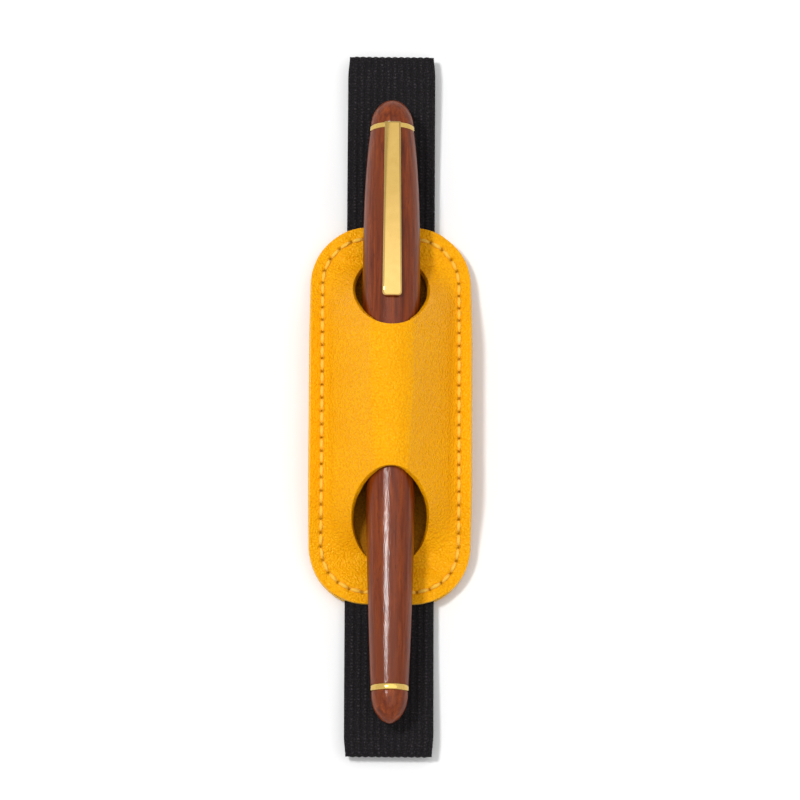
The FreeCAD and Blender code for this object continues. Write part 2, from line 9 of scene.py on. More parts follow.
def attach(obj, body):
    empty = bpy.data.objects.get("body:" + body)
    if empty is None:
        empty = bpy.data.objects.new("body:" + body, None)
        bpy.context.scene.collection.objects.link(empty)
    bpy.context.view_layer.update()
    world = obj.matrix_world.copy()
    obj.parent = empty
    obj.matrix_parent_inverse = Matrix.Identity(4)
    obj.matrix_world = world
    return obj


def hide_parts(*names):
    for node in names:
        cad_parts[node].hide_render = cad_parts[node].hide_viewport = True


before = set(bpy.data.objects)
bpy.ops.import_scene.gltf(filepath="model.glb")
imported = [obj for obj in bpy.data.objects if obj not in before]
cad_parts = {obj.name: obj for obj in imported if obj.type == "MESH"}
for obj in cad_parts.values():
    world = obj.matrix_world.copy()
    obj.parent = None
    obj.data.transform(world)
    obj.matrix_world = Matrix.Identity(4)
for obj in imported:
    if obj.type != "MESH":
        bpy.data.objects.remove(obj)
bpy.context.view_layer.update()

# Sizes in millimetres, as in the part's source
MM = 0.001

# Elastic loop
BAND_WIDTH = 20.0
BAND_LENGTH = 162.6  # from fold to fold, lying flat
BAND_THICK = 0.9
FOLD_GAP = 1.0  # between the two runs inside a fold
FOLD_LIFT = 2.0  # how far the folded ends stand off the surface
FOLD_REACH = 20.0  # length over which the loop lifts towards a fold
FOLD_LEVEL = 6.0  # level length next to a fold

# Leather sleeve
PANEL_THICK = 1.2
SLEEVE_WIDTH = 36.2
SLEEVE_LENGTH = 87.1
SLEEVE_CORNER = 13.0
SLEEVE_OFFSET = -3.2  # the sleeve's middle along Y
STRIP_LENGTH = 32.1  # the strip between the two holes
STRIP_OFFSET = 1.5  # the strip's middle from the sleeve's middle
HOLE_LENGTH = 20.0
HOLE_SIDE_GAP = 2.2  # from the cap's side to the side of a hole
TAB_DEPTH = 5.0  # how far the elastic's ends reach into the seam
TAB_EASE = 4.0  # length over which the front panel steps down beside a tab
TROUGH_FLAT = 4.0  # half the flat floor of the back panel under the strip
TROUGH_SLOPE = 0.36  # how steeply the back panel's sides rise under the strip
END_SLOPE = 0.08  # and at the sleeve's ends
BEND_SOFT = 1.2  # softness of the leather's bends
ARCH_KEEP = 5.0  # length of a hole's sides along which the strip's arch keeps its height
ARCH_LANDING = 1.5  # flat length before the far end of a hole

# Seam
SEAM_INSET = 2.6  # from the sleeve's edge to the stitches
STITCH_PITCH = 3.05
THREAD_R = 0.3

# Cap
CAP_LIP_Y = 5.0  # where the cap meets the barrel
CAP_LENGTH = 63.4  # from its lip to its tip
CAP_R = 6.55  # at the lip
CAP_NECK_R = 5.0  # under the ring
CAP_FULLNESS = 4.5  # how fast the cap swells below its ring
CAP_RING_WIDTH = 1.2
FINIAL_LENGTH = 6.3
LIP_BAND_WIDTH = 3.0
CAP_BORE_R = 5.45
CAP_BORE_DEPTH = 25.0
NIB_BORE_R = 4.4
NIB_BORE_DEPTH = 48.0
STUD_R = 1.4

# Clip
CLIP_LENGTH = 41.2
CLIP_THICK = 0.9
CLIP_ROOT_WIDTH = 3.6
CLIP_TIP_WIDTH = 4.4
CLIP_STAND = 0.8  # height of the clip's root above the ring
CLIP_OPEN = 0.7  # space between cap and clip near the tip
CLIP_FOOT = 3.6  # length of the turned-in foot

# Barrel
BARREL_LENGTH = 71.4
BARREL_R = 5.6  # at its mouth
BARREL_TAPER = 2.4  # how late the barrel narrows
BARREL_BORE_R = 3.9
BARREL_BORE_DEPTH = 59.0
BUSH_WALL = 0.75
BUSH_LENGTH = 13.0
TAIL_R = 4.25
TAIL_RING_WIDTH = 1.35
TAIL_LENGTH = 7.1

# Clearances
LAY_GAP = 0.1  # between layers that lie on each other
SEAM_GAP = 0.2  # spare height in the seam
PEN_SEAT_GAP = 0.2  # between the pen and the stitches that it lies on
PEN_SLIDE_GAP = 0.3  # between the pen and the strip over it
FIT_GAP = 0.05  # round pieces that press into each other
END_GAP = 0.1  # end faces of pieces that part
CLIP_GAP = 0.1  # between the clip and the cap or ring
RING_PROUD = 0.12  # how far a ring stands proud of the wood

# Heights of the layers, from the surface up
STITCH_HEIGHT = LAY_GAP + THREAD_R
BACK_TOP = BAND_THICK + LAY_GAP + STITCH_HEIGHT + PANEL_THICK
TAB_Z = BACK_TOP + SEAM_GAP / 2 + BAND_THICK / 2
PEN_Z = BACK_TOP + SEAM_GAP + BAND_THICK + PANEL_THICK + STITCH_HEIGHT + PEN_SEAT_GAP + CAP_R

# Places along the sleeve and across it
STRIP_Y = SLEEVE_OFFSET + STRIP_OFFSET
HOLE_OFFSET = (STRIP_LENGTH + HOLE_LENGTH) / 2
HOLE_HALF = CAP_R + HOLE_SIDE_GAP
END_FLAT = BAND_WIDTH / 2 + BEND_SOFT

# Places and radii along the pen
CAP_TIP_Y = CAP_LIP_Y + CAP_LENGTH
RING_TOP_Y = CAP_TIP_Y - FINIAL_LENGTH
RING_LOW_Y = RING_TOP_Y - CAP_RING_WIDTH
LIP_BAND_Y = CAP_LIP_Y + LIP_BAND_WIDTH
CLIP_TIP_Y = RING_TOP_Y - CLIP_LENGTH
MOUTH_Y = CAP_LIP_Y - END_GAP
TAIL_RING_Y = MOUTH_Y - BARREL_LENGTH
TAIL_Y = TAIL_RING_Y - TAIL_RING_WIDTH
TAIL_TIP_Y = TAIL_Y - TAIL_LENGTH
STUD_HOLE_R = STUD_R + FIT_GAP
BUSH_SEAT_R = BARREL_BORE_R + BUSH_WALL + FIT_GAP

# Finer sizes of the leather, which only show
SEAM_FOOT = 0.6  # from the stitches to where the panels part
FOOT_X = SLEEVE_WIDTH / 2 - SEAM_INSET - SEAM_FOOT
SOFT_BEND = 2.2  # how softly the leather turns up out of the seam
EDGE_ROUND = 0.3
EDGE_ANGLE = 60  # degrees; sharper edges are rounded
EDGE_FACING = 0.95  # at the outline, a face turned out of the sheet less than this is cut edge
BACK_FACING = -0.3  # a face turned out of the sheet less than this is the inner one
GROOVE = 0.1  # how deep the stitches pull the leather down
GROOVE_WIDTH = 0.8
NEEDLE_R = 0.36
NEEDLE_DEPTH = 0.4
NEEDLE_PAINTED_SHADE = 1.15  # painted shade of a needle hole, kept to 1 in its middle
CREASE_REACH = 2.6  # from a needle hole
WAVE_HEIGHT = 0.12  # the hide is never quite even
WAVE_SCALE = 0.16
WAVE_FADE = 6.0  # length over which the waves die away at the edge
WAVE_APART = 7.0  # keeps the two panels' waves unlike each other

# The leather's mesh
CELL = 0.36
EDGE_PULL = 0.3  # share of a cell by which a point may pass an edge and be pulled back to it
RIM_REACH = 1.2  # the points on a hole's rim lie within this share of its size
EVEN_PASSES = 4  # how often the points between the edges are evened out

# Finer sizes of the thread
THREAD_HALF = 0.4
THREAD_FLAT = 0.85  # its height, as a share of its width
THREAD_LIFT = 0.12
THREAD_DIVE = 0.55  # how far a stitch's ends go down into the needle holes
STITCH_SHARE = 0.86  # a stitch's length, as a share of the way between two needle holes
PLIES = 2
PLY_DEPTH = 0.1
PLY_TWIST = 5  # how tightly the plies are laid

# Finer sizes of the elastic
RIBS = 12
RIB_HEIGHT = 0.2
SELVAGE = 0.9
SELVAGE_SHARE = 0.3  # height of the selvage, as a share of a rib's
RIB_PITCH = (BAND_WIDTH - 2 * SELVAGE) / RIBS
KNIT_PITCH = 0.75  # between two loops along a rib
FOLD_NARROW = 0.035  # share of its width that the loop loses in a fold
NARROW_REACH = 5.0  # length over which it narrows
BAND_CELLS = 120  # across the loop
FRONT_STEPS = 70  # from a sewn-in end to the fold
FOLD_STEPS = 12
BACK_STEPS = 80  # from the fold to the middle of the back

# Finer sizes of the turned pieces
TAIL_FULLNESS = 2.3  # how late the tail's end narrows
TAIL_BLUNT = 0.6  # and how bluntly it closes, bluntest near 0
WOOD_EDGE = 0.1
LIP_EDGE = 0.2
RING_EDGE = 0.25
TURNED_ANGLE = 35  # degrees; sharper edges are rounded
TURN_STEPS = 128
SHELL_STEPS = 40
END_STEPS = 24
TINY = 0.0005  # points closer than this are one

# Finer sizes of the clip
CLIP_SUNK = CLIP_THICK / 3  # how far its root and its foot reach into its arm
CLIP_NOSE = 2.6  # length over which its tip bends down
NOSE_DROP = 0.4
NOSE_CUTS = 8
CLIP_CROWN = 0.12  # how far its top falls away at its sides
CROWN_CUTS = 9

SHARP_ANGLE = 50  # degrees; edges sharper than this don't shade as one surface


def smooth(share):
    """Eases from 0 to 1 as the share does."""
    share = min(1.0, max(0.0, share))
    return share * share * (3.0 - 2.0 * share)


def blend(low, high, share):
    return low + (high - low) * share


def ramp(value, softness):
    """Zero below zero and the value itself above it, with a rounded knee."""
    return (value + math.hypot(value, softness)) / 2


def knee(value, softness):
    """As ramp, but exactly zero below the bend and exactly the value above it."""
    if abs(value) >= softness:
        return max(0.0, value)
    return (value + softness) ** 2 / (4 * softness)


# Shape of the leather, by the part's own formulas

def end_share(y):
    """From 0 along the strip to 1 where the elastic's ends are sewn in."""
    free = SLEEVE_LENGTH / 2 - TAB_DEPTH - STRIP_LENGTH / 2
    return smooth((abs(y - SLEEVE_OFFSET) - STRIP_LENGTH / 2) / free)


def arch_share(y):
    """From 1 along the strip to 0 at the far ends of the holes."""
    beyond = abs(y - STRIP_Y) - STRIP_LENGTH / 2 - ARCH_KEEP
    return 1.0 - smooth(beyond / (HOLE_LENGTH - ARCH_KEEP - ARCH_LANDING))


def tab_share(x, y):
    """1 over the elastic's sewn-in ends, easing to 0 beside them."""
    across = 1.0 - smooth((abs(x) - BAND_WIDTH / 2) / TAB_EASE)
    inner = SLEEVE_LENGTH / 2 - TAB_DEPTH - TAB_EASE
    return across * smooth((abs(y - SLEEVE_OFFSET) - inner) / TAB_EASE)


def back_inner(x, y):
    """Height of the back panel's inner face: a trough that flattens towards its ends."""
    share = end_share(y)
    flat = blend(TROUGH_FLAT, END_FLAT, share)
    slope = blend(TROUGH_SLOPE, END_SLOPE, share)
    return BACK_TOP + slope * (ramp(abs(x) - flat, BEND_SOFT) - ramp(-flat, BEND_SOFT))


def strip_radius(y):
    low = STRIP_Y - STRIP_LENGTH / 2
    share = smooth((y - low) / (MOUTH_Y - low))
    return PEN_SLIDE_GAP + blend(BARREL_R, CAP_R, share)


def tent(x, y):
    """Height of an arc over the pen with straight flanks down to the seam."""
    radius = strip_radius(y)
    foot = back_inner(FOOT_X, y)
    rise = PEN_Z - foot
    slope = math.atan2(rise, FOOT_X) + math.asin(radius / math.hypot(rise, FOOT_X))
    if abs(x) < radius * math.sin(slope):
        return PEN_Z + math.sqrt(radius**2 - x**2)
    return foot + (FOOT_X - abs(x)) * math.tan(slope)


def front_inner(x, y):
    """Height of the front panel's inner face."""
    base = back_inner(x, y) + SEAM_GAP
    share = arch_share(y)
    arch = knee(share * (tent(x, y) - base), share * SOFT_BEND)
    return base + arch + BAND_THICK * tab_share(x, y)


def upright(height, x, y):
    """The direction that points out of a face, scaled to rise by 1."""
    step = 0.01
    across = (height(x + step, y) - height(x - step, y)) / (2 * step)
    along = (height(x, y + step) - height(x, y - step)) / (2 * step)
    return Vector((-across, -along, 1))


def outer(inner, side, x, y):
    """Height of a panel's outer face, from that of its inner one."""
    return inner(x, y) + side * PANEL_THICK * upright(inner, x, y).length


# Materials

def srgb(red, green, blue):
    """A colour as a picture shows it, from 0 to 255, made linear."""
    shares = [value / 255 for value in (red, green, blue)]
    return [s / 12.92 if s <= 0.04045 else ((s + 0.055) / 1.055) ** 2.4 for s in shares] + [1.0]


def grey(value):
    return [value] * 3 + [1.0]


class Nodes:
    """A tree of shader nodes, built up from a few kinds of node."""

    def __init__(self, owner):
        owner.use_nodes = True
        self.tree = owner.node_tree

    def set(self, made, socket, value):
        if isinstance(value, bpy.types.NodeSocket):
            self.tree.links.new(value, made.inputs[socket])
        else:
            made.inputs[socket].default_value = value

    def add(self, kind, inputs, **settings):
        made = self.tree.nodes.new("ShaderNode" + kind)
        for key, value in settings.items():
            setattr(made, key, value)
        for socket, value in inputs.items():
            self.set(made, socket, value)
        return made

    def steps(self, value, *stops):
        """A run of colours; each stop is a place from 0 to 1 and a colour."""
        ramped = self.add("ValToRGB", {"Fac": value})
        elements = ramped.color_ramp.elements
        while len(elements) < len(stops):
            elements.new(0.5)
        for element, (place, colour) in zip(elements, stops):
            element.position = place
            element.color = colour
        return ramped.outputs[0]

    def share(self, value, low, high):
        """Eases from 0 at a low value to 1 at a high one."""
        inputs = {"Value": value, "From Min": low, "From Max": high}
        return self.add("MapRange", inputs, interpolation_type="SMOOTHSTEP").outputs[0]

    def mix(self, share, first, second, kind="MIX"):
        inputs = {0: share, 6: first, 7: second}
        return self.add("Mix", inputs, data_type="RGBA", blend_type=kind).outputs[2]

    def maths(self, kind, first, second):
        return self.add("Math", {0: first, 1: second}, operation=kind).outputs[0]


class Paint(Nodes):
    """A procedural material."""

    def __init__(self, name, **shader):
        self.material = bpy.data.materials.new(name)
        super().__init__(self.material)
        self.shader = self.tree.nodes["Principled BSDF"]
        for socket, value in shader.items():
            self.set(self.shader, socket.replace("_", " "), value)

    def place(self, across=1.0, along=1.0):
        """Places on the piece in millimetres; a small factor draws a pattern out that way."""
        coords = self.add("TexCoord", {}).outputs["Object"]
        scale = (across / MM, along / MM, across / MM)
        return self.add("Mapping", {"Vector": coords, "Scale": scale}).outputs[0]

    def noise(self, place, scale, detail=2.0, distortion=0.0):
        inputs = {"Vector": place, "Scale": scale, "Detail": detail, "Distortion": distortion}
        return self.add("TexNoise", inputs).outputs[0]

    def pebbles(self, place, scale, wander=0.7, shake=0.2, softness=0.3):
        """Rounded grains with furrows between them: 0 in a grain's middle and 1 in a furrow."""
        inputs = {"Vector": place, "Scale": scale * wander, "Detail": 2.0}
        stray = self.add("TexNoise", inputs).outputs[1]
        shaken = self.mix(shake, place, stray, "LINEAR_LIGHT")
        inputs = {"Vector": shaken, "Scale": scale, "Smoothness": softness}
        return self.add("TexVoronoi", inputs, feature="SMOOTH_F1").outputs[0]

    def mark(self, name):
        """A value that the mesh carries at each of its points."""
        return self.add("Attribute", {}, attribute_name=name).outputs["Fac"]

    def bump(self, height, depth, under=None):
        made = self.add("Bump", {"Height": height, "Distance": depth * MM, "Strength": 1.0})
        if under:
            self.set(made, "Normal", under)
        return made.outputs[0]

    def finish(self, colour, normal=None, roughness=None):
        self.set(self.shader, "Base Color", colour)
        if normal:
            self.set(self.shader, "Normal", normal)
        if roughness:
            self.set(self.shader, "Roughness", roughness)
        return self.material


def leather_paint():
    """Yellow leather with a pebbled grain, creased beside the stitches; shade is painted into the grain's
    furrows and round the needle holes.
    """
    paint = Paint("leather", Specular_IOR_Level=0.42, Specular_Tint=srgb(255, 214, 104))
    place = paint.place()
    mottle = paint.noise(place, scale=0.11, detail=3.0)
    colour = paint.steps(mottle, (0.32, srgb(247, 169, 2)), (0.7, srgb(253, 179, 5)))
    pebbles = paint.pebbles(place, scale=2.0)
    # painted shade: the grain's furrows are coloured a deeper orange, in place of the shading the bumps
    # would cast
    furrow_shade = paint.share(pebbles, low=0.3, high=0.75)
    colour = paint.mix(furrow_shade, colour, srgb(243, 161, 0))
    # painted shade: the needle holes are darkened to deep brown where the mesh's dark mark is set
    colour = paint.mix(paint.mark("dark"), colour, srgb(120, 60, 6))
    folds = paint.bump(paint.noise(place, scale=0.4), depth=0.05)
    grain = paint.bump(pebbles, depth=-0.2, under=folds)
    creases = paint.noise(paint.place(across=0.9, along=0.35), scale=1.5, distortion=1.2)
    creased = paint.maths("MULTIPLY", creases, paint.mark("crease"))
    rough = paint.steps(mottle, (0.3, grey(0.26)), (0.75, grey(0.36)))
    return paint.finish(colour, paint.bump(creased, depth=0.17, under=grain), rough)


def inner_shade_paint():
    """The leather's inner face: a nap whose darker brown is painted shade, darkening the inside seen
    through the holes.
    """
    paint = Paint("leather_back", Specular_IOR_Level=0.1, Roughness=0.9)
    nap = paint.noise(paint.place(), scale=2.2, detail=4.0)
    # painted shade: the inner face is coloured brown in place of the yellow leather lying in shadow
    colour = paint.steps(nap, (0.3, srgb(150, 92, 10)), (0.7, srgb(184, 118, 18)))
    return paint.finish(colour, paint.bump(nap, depth=0.08))


def cut_edge_paint():
    """The leather's cut edge: paler and fibrous."""
    paint = Paint("leather_edge", Specular_IOR_Level=0.25, Roughness=0.7)
    fibres = paint.noise(paint.place(), scale=4.0, detail=3.0)
    colour = paint.steps(fibres, (0.3, srgb(240, 176, 48)), (0.72, srgb(255, 205, 92)))
    return paint.finish(colour, paint.bump(fibres, depth=0.08))


def thread_paint():
    """Yellow thread, a little paler than the leather."""
    paint = Paint("thread", Specular_IOR_Level=0.3, Roughness=0.6, Sheen_Weight=0.2)
    fibres = paint.noise(paint.place(), scale=7.0)
    colour = paint.steps(fibres, (0.3, srgb(246, 182, 32)), (0.7, srgb(255, 206, 76)))
    return paint.finish(colour, paint.bump(fibres, depth=0.05))


def elastic_paint():
    """Black ribbed knit with some lint; a row of small paler loops along the crest of every rib is a
    painted highlight.
    """
    paint = Paint("elastic", Specular_IOR_Level=0.12, Roughness=0.8)
    coords = paint.add("UVMap", {}, uv_map="weave").outputs[0]
    split = paint.add("SeparateXYZ", {"Vector": coords})
    rib = paint.maths("PINGPONG", split.outputs[0], 0.5)
    slant = paint.maths("MULTIPLY", rib, 0.6)
    loop = paint.maths("PINGPONG", paint.maths("ADD", split.outputs[1], slant), 0.5)
    # painted highlight: the loops on the crest of every rib are coloured paler, broken up by a speckle
    crest = paint.share(rib, low=0.22, high=0.44)
    loops = paint.maths("MULTIPLY", crest, paint.share(loop, low=0.05, high=0.4))
    speckle = paint.noise(paint.place(), scale=2.6, detail=3.0)
    broken_crest_highlights = paint.maths("MULTIPLY", loops, paint.share(speckle, low=0.4, high=0.72))
    flecks = paint.share(paint.noise(paint.place(), scale=4.2), low=0.48, high=0.75)
    lint = paint.maths("MULTIPLY", flecks, 0.5)
    # the lint flecks together with the painted crest highlights
    light = paint.maths("MAXIMUM", lint, broken_crest_highlights)
    colour = paint.steps(light, (0.0, srgb(17, 15, 17)), (1.0, srgb(64, 60, 63)))
    knit = paint.bump(paint.maths("MULTIPLY", loop, rib), depth=0.25)
    return paint.finish(colour, paint.bump(speckle, depth=0.05, under=knit))


def wood_paint(name, along, pitted):
    """Reddish wood under a gloss; a small along draws its grain out, a large pitted makes fine pores."""
    paint = Paint(name, Roughness=0.4, Coat_Weight=0.4, Coat_Roughness=0.1, Specular_IOR_Level=0.05)
    grain = paint.noise(paint.place(along=along), scale=1.1, detail=4.0, distortion=0.6)
    colour = paint.steps(
        grain,
        (0.25, srgb(84, 28, 4)),
        (0.45, srgb(114, 45, 8)),
        (0.6, srgb(132, 56, 11)),
        (0.8, srgb(152, 72, 20)),
    )
    pores = paint.noise(paint.place(across=pitted, along=along * 9), scale=1.0)
    colour = paint.mix(paint.share(pores, low=0.54, high=0.8), colour, srgb(78, 31, 10))
    figure = paint.noise(paint.place(across=0.25, along=along * 0.6), scale=1.0)
    colour = paint.mix(paint.share(figure, low=0.45, high=0.8), colour, srgb(112, 48, 17))
    open_pores = paint.bump(pores, depth=-0.04)
    paint.set(paint.shader, "Coat Normal", open_pores)
    return paint.finish(colour, open_pores)


def metal_paint(name, dark, light, roughness):
    """Polished metal with faint wear."""
    paint = Paint(name, Metallic=1.0)
    wear = paint.noise(paint.place(), scale=0.5, detail=3.0)
    colour = paint.steps(wear, (0.3, dark), (0.7, light))
    rough = paint.steps(wear, (0.3, grey(roughness * 0.8)), (0.75, grey(roughness * 1.3)))
    return paint.finish(colour, paint.bump(wear, depth=0.002), rough)


def clip_paint():
    """Gold plate, deeper in tone at the clip's root and paler towards its tip: a painted reflection that
    brightens along the clip.
    """
    paint = Paint("clip_gold", Metallic=1.0)
    place = paint.place()
    wear = paint.noise(place, scale=0.5, detail=3.0)
    along = paint.add("SeparateXYZ", {"Vector": place}).outputs[1]
    # painted reflection: the gold's colour brightens from the root towards the tip
    painted_reflection_ramp = paint.share(along, low=RING_TOP_Y - CLIP_LENGTH / 4, high=CLIP_TIP_Y)
    deep = paint.steps(wear, (0.3, srgb(171, 141, 77)), (0.7, srgb(177, 147, 83)))
    pale = paint.steps(wear, (0.3, srgb(204, 169, 99)), (0.7, srgb(210, 175, 105)))
    rough = paint.steps(wear, (0.3, grey(0.08)), (0.75, grey(0.12)))
    return paint.finish(paint.mix(painted_reflection_ramp, deep, pale), paint.bump(wear, depth=0.002), rough)


def plastic_paint(name, colour, spots, roughness):
    """Moulded plastic, a little hazy."""
    paint = Paint(name, Specular_IOR_Level=0.5)
    haze = paint.noise(paint.place(), scale=1.6, detail=3.0)
    shade = paint.steps(haze, (0.3, colour), (0.7, spots))
    rough = paint.steps(haze, (0.3, grey(roughness * 0.8)), (0.7, grey(roughness * 1.3)))
    return paint.finish(shade, paint.bump(haze, depth=0.006), rough)


def clear_paint():
    """The ink tube's clear plastic."""
    paint = Paint("clear", Transmission_Weight=0.9, IOR=1.45)
    haze = paint.noise(paint.place(), scale=0.8)
    colour = paint.steps(haze, (0.3, srgb(232, 236, 238)), (0.7, srgb(246, 248, 249)))
    return paint.finish(colour, roughness=paint.steps(haze, (0.3, grey(0.06)), (0.7, grey(0.12))))


SHEET_PAINTS = [leather_paint(), inner_shade_paint(), cut_edge_paint()]
OUTER_FACE, INNER_FACE, CUT_EDGE = range(len(SHEET_PAINTS))
THREAD = thread_paint()
ELASTIC = elastic_paint()
WOOD = wood_paint("wood", along=0.07, pitted=4.5)
END_WOOD = wood_paint("wood_end", along=0.35, pitted=2.8)
GOLD = metal_paint("gold", srgb(206, 172, 92), srgb(216, 182, 102), roughness=0.16)
CLIP_GOLD = clip_paint()
INNER_PAINTS = {
    "gold": GOLD,
    "brass": metal_paint("brass", srgb(196, 158, 84), srgb(224, 190, 118), roughness=0.3),
    "chrome": metal_paint("chrome", srgb(196, 198, 202), srgb(226, 228, 230), roughness=0.14),
    "liner": plastic_paint("liner", srgb(26, 26, 28), srgb(38, 38, 40), roughness=0.45),
    "resin": plastic_paint("resin", srgb(20, 19, 20), srgb(32, 31, 32), roughness=0.2),
    "seal": plastic_paint("seal", srgb(30, 30, 32), srgb(46, 46, 48), roughness=0.5),
    "rod": plastic_paint("rod", srgb(214, 214, 210), srgb(232, 232, 229), roughness=0.35),
    "clear": clear_paint(),
}


# Pieces

def show(name, bm, body, paints, node):
    """Turns a mesh drawn in millimetres into a piece that stands for a CAD node."""
    bmesh.ops.scale(bm, vec=(MM, MM, MM), verts=bm.verts)
    mesh = bpy.data.meshes.new(name)
    bm.to_mesh(mesh)
    bm.free()
    mesh.polygons.foreach_set("use_smooth", [True] * len(mesh.polygons))
    mesh.set_sharp_from_angle(angle=math.radians(SHARP_ANGLE))
    for paint in paints:
        mesh.materials.append(paint)
    piece = bpy.data.objects.new(name, mesh)
    bpy.context.scene.collection.objects.link(piece)
    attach(piece, body)
    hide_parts(node)
    return piece


def round_edges(bm, edges, width, segments):
    bmesh.ops.bevel(
        bm, geom=edges, offset=width, offset_type="OFFSET", segments=segments, profile=0.5,
        affect="EDGES", material=-1, clamp_overlap=True,
    )


def soften(bm, width, angle):
    """Rounds the edges that are sharper than an angle in degrees."""
    limit = math.radians(angle)
    sharp = [edge for edge in bm.edges if edge.is_manifold and edge.calc_face_angle() > limit]
    round_edges(bm, sharp, width, segments=2)


# Sewn leather

def past_corner(x, y):
    """How far a point of the plan lies past the start of the sleeve's rounded corners, each way."""
    over_x = abs(x) - SLEEVE_WIDTH / 2 + SLEEVE_CORNER
    over_y = abs(y - SLEEVE_OFFSET) - SLEEVE_LENGTH / 2 + SLEEVE_CORNER
    return over_x, over_y


def outward(x, y):
    """Direction from a point of the plan to the sleeve's nearest edge."""
    over = Vector(past_corner(x, y))
    if over.x > 0 and over.y > 0:
        way = over.normalized()
    else:
        way = Vector((1, 0)) if over.x > over.y else Vector((0, 1))
    return Vector((math.copysign(way.x, x), math.copysign(way.y, y - SLEEVE_OFFSET), 0))


def outside(x, y):
    """How far a point of the plan lies outside the sleeve's outline."""
    over_x, over_y = past_corner(x, y)
    return math.hypot(max(over_x, 0), max(over_y, 0)) + min(max(over_x, over_y), 0) - SLEEVE_CORNER


def hole_share(x, y):
    """Distance from the nearer hole's middle, as a share of the distance to its rim, and that middle."""
    centre = STRIP_Y + math.copysign(HOLE_OFFSET, y - STRIP_Y)
    return math.hypot(x / HOLE_HALF, (y - centre) / (HOLE_LENGTH / 2)), centre


def seam_points():
    """Evenly spaced needle holes, anticlockwise round the seam from the foot of its right side."""
    corner = SLEEVE_CORNER - SEAM_INSET
    sides = [SLEEVE_LENGTH - 2 * SLEEVE_CORNER, SLEEVE_WIDTH - 2 * SLEEVE_CORNER] * 2
    bend = corner * math.pi / 2
    around = sum(sides) + 4 * bend
    count = round(around / STITCH_PITCH)
    points = []
    for i in range(count):
        left = around * i / count
        place = Vector((SLEEVE_WIDTH / 2 - SEAM_INSET, SLEEVE_OFFSET - sides[0] / 2, 0))
        way = Vector((0, 1, 0))
        for side in sides:
            step = min(left, side)
            place += way * step
            left -= step
            turn = min(left, bend) / corner
            inward = Matrix.Rotation(math.pi / 2, 3, "Z") @ way
            place += (way * math.sin(turn) + inward * (1 - math.cos(turn))) * corner
            way = Matrix.Rotation(turn, 3, "Z") @ way
            left -= min(left, bend)
        points.append(place)
    return points


def needle_tree():
    tree = KDTree(len(SEAM))
    for i, place in enumerate(SEAM):
        tree.insert(place, i)
    tree.balance()
    return tree


SEAM = seam_points()
NEEDLES = needle_tree()


def plan_mesh(holes):
    """A fine grid over the sleeve's plan, trimmed to its outline and its holes."""
    bm = bmesh.new()
    across = round(SLEEVE_WIDTH / CELL)
    along = round(SLEEVE_LENGTH / CELL)
    bmesh.ops.create_grid(bm, x_segments=across, y_segments=along, size=0.5)
    bmesh.ops.scale(bm, vec=(SLEEVE_WIDTH, SLEEVE_LENGTH, 1), verts=bm.verts)
    bmesh.ops.translate(bm, vec=(0, SLEEVE_OFFSET, 0), verts=bm.verts)
    keep = CELL * EDGE_PULL
    waste = [v for v in bm.verts if outside(*v.co.xy) > keep]
    if holes:
        inner = 1 - keep / HOLE_HALF
        waste += [v for v in bm.verts if hole_share(*v.co.xy)[0] < inner]
    bmesh.ops.delete(bm, geom=waste, context="VERTS")
    for vert in bm.verts:
        if vert.is_boundary:
            share, centre = hole_share(*vert.co.xy)
            if holes and share < RIM_REACH:
                middle = Vector((0, centre, 0))
                vert.co = middle + (vert.co - middle) / share
            else:
                vert.co -= outward(*vert.co.xy) * outside(*vert.co.xy)
    loose = [v for v in bm.verts if not v.is_boundary]
    for _ in range(EVEN_PASSES):
        bmesh.ops.smooth_vert(bm, verts=loose, factor=0.5, use_axis_x=True, use_axis_y=True)
    return bm


def raise_sheet(bm, inner, side):
    """Lifts a flat plan to a panel's outer face, pulled down along the seam and pricked by the needle,
    and marks painted shade round the needle holes.
    """
    dark = bm.verts.layers.float.new("dark")
    crease = bm.verts.layers.float.new("crease")
    for vert in bm.verts:
        x, y, _ = vert.co
        near = NEEDLES.find(vert.co)[2]
        pulled = math.exp(-((outside(x, y) + SEAM_INSET) / GROOVE_WIDTH) ** 2)
        pricked = math.exp(-(near / NEEDLE_R) ** 2)
        uneven = noise.noise((x * WAVE_SCALE, y * WAVE_SCALE, side * WAVE_APART))
        wave = WAVE_HEIGHT * uneven * smooth(-outside(x, y) / WAVE_FADE)
        # the dark mark is painted shade in and round each needle hole
        vert[dark] = min(1.0, NEEDLE_PAINTED_SHADE * pricked)
        vert[crease] = smooth(1 - near / CREASE_REACH)
        vert.co.z = outer(inner, side, x, y) + wave - side * (GROOVE * pulled + NEEDLE_DEPTH * pricked)


def paint_sheet(bm, inner, side):
    """Gives the outer face, the inner face and the cut edge a paint each."""
    for face in bm.faces:
        x, y, _ = face.calc_center_median()
        facing = side * face.normal.dot(upright(inner, x, y).normalized())
        if outside(x, y) > -EDGE_ROUND and facing < EDGE_FACING:
            face.material_index = CUT_EDGE
        else:
            face.material_index = INNER_FACE if facing < BACK_FACING else OUTER_FACE


def leather_panel(name, node, inner, side, holes):
    """A sewn sheet of leather; side is 1 if its outer face looks up and -1 if it looks down."""
    bm = plan_mesh(holes)
    raise_sheet(bm, inner, side)
    if side < 0:
        bmesh.ops.reverse_faces(bm, faces=bm.faces)
    bm.normal_update()
    bmesh.ops.solidify(bm, geom=bm.faces, thickness=PANEL_THICK)
    bm.normal_update()
    soften(bm, EDGE_ROUND, EDGE_ANGLE)
    bmesh.ops.recalc_face_normals(bm, faces=bm.faces)
    paint_sheet(bm, inner, side)
    return show(name, bm, "case", SHEET_PAINTS, node)


def plumpness(share):
    """A stitch's fullness, from 1 at its middle to 0 at its two ends, at -1 and 1."""
    return max(0.0, 1 - share**6) ** 0.2 * math.sqrt(max(0.0, 1 - share**4))


